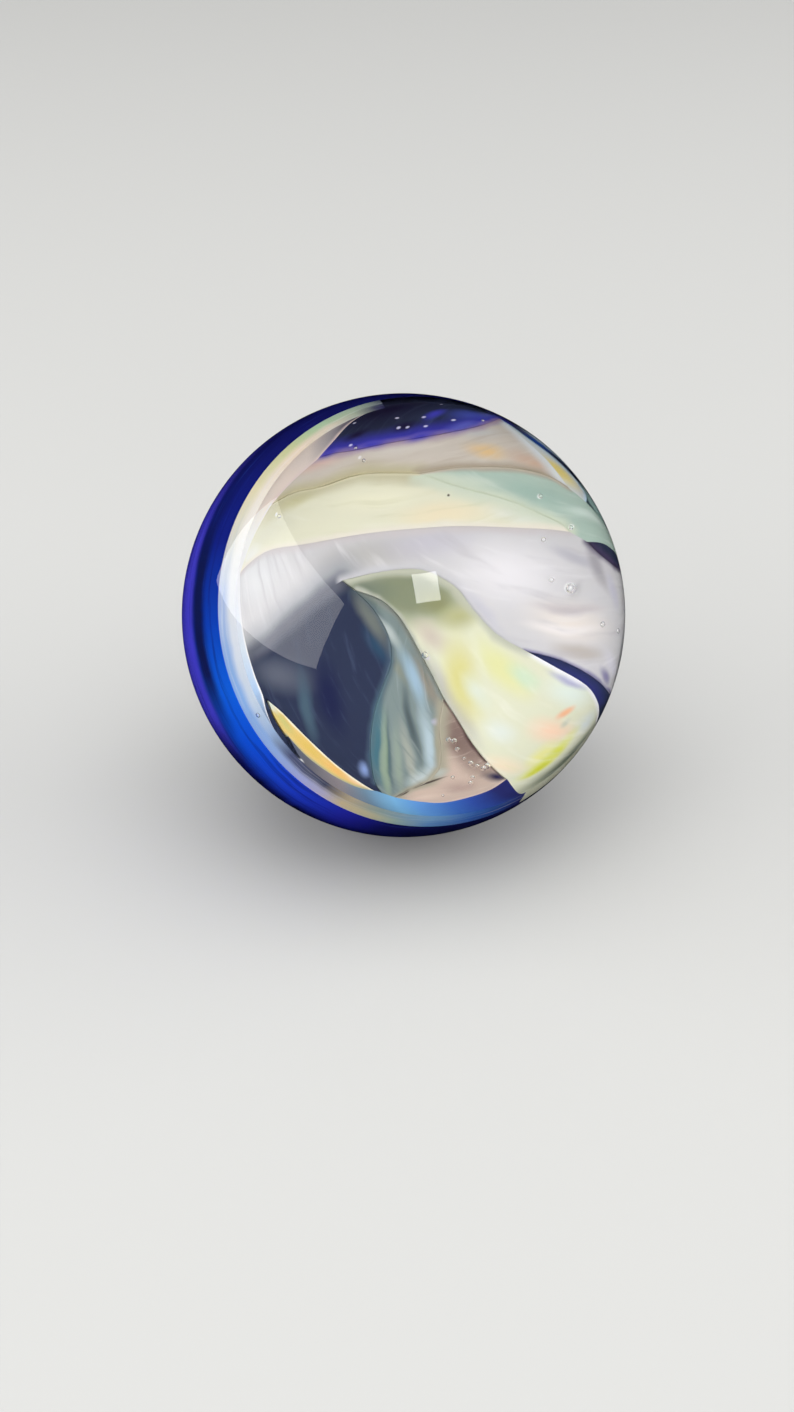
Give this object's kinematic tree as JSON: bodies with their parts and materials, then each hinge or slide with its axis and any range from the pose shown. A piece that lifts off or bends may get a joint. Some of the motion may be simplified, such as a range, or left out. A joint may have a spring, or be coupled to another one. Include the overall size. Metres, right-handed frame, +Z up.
{
  "type": "glass marble",
  "caption": "Handmade clear glass ball with a cobalt cup inside it, lined with swirled ribbons of pale, yellow and grey glass seen through a clear window.",
  "frame": {"origin": "centre of the ball", "axes": "+Z up as the marble sits on its stand, -Y towards the viewer, +X to the viewer's right; the window faces up, front and right"},
  "size_m": [0.028, 0.028, 0.028],
  "materials": {
    "clear_glass": "clear, fire polished, with a few seed bubbles",
    "cobalt_glass": "deep cobalt, from navy to bright blue in streaks",
    "pale_blue_glass": "opal, white to sky blue and yellow green",
    "taupe_glass": "pinkish taupe, streaked",
    "straw_glass": "straw yellow with a pale blue edge",
    "teal_glass": "grey teal, streaked",
    "cream_glass": "cream, streaked",
    "pearl_glass": "pearl grey to lilac white, streaked",
    "flame_glass": "pale yellow with peach and white patches",
    "slate_glass": "slate with teal streaks",
    "rose_glass": "mauve to rose, with seed bubbles",
    "amber_glass": "amber yellow"
  },
  "bodies": {
    "root": {"clear_glass": "clear_glass", "cobalt_glass": "cobalt_glass", "rim_ribbon": "pale_blue_glass", "taupe_ribbon": "taupe_glass", "straw_ribbon": "straw_glass", "teal_ribbon": "teal_glass", "cream_ribbon": "cream_glass", "pearl_ribbon": "pearl_glass", "flame_ribbon": "flame_glass", "slate_ribbon": "slate_glass", "rose_ribbon": "rose_glass", "amber_ribbon": "amber_glass"}
  },
  "joints": []
}
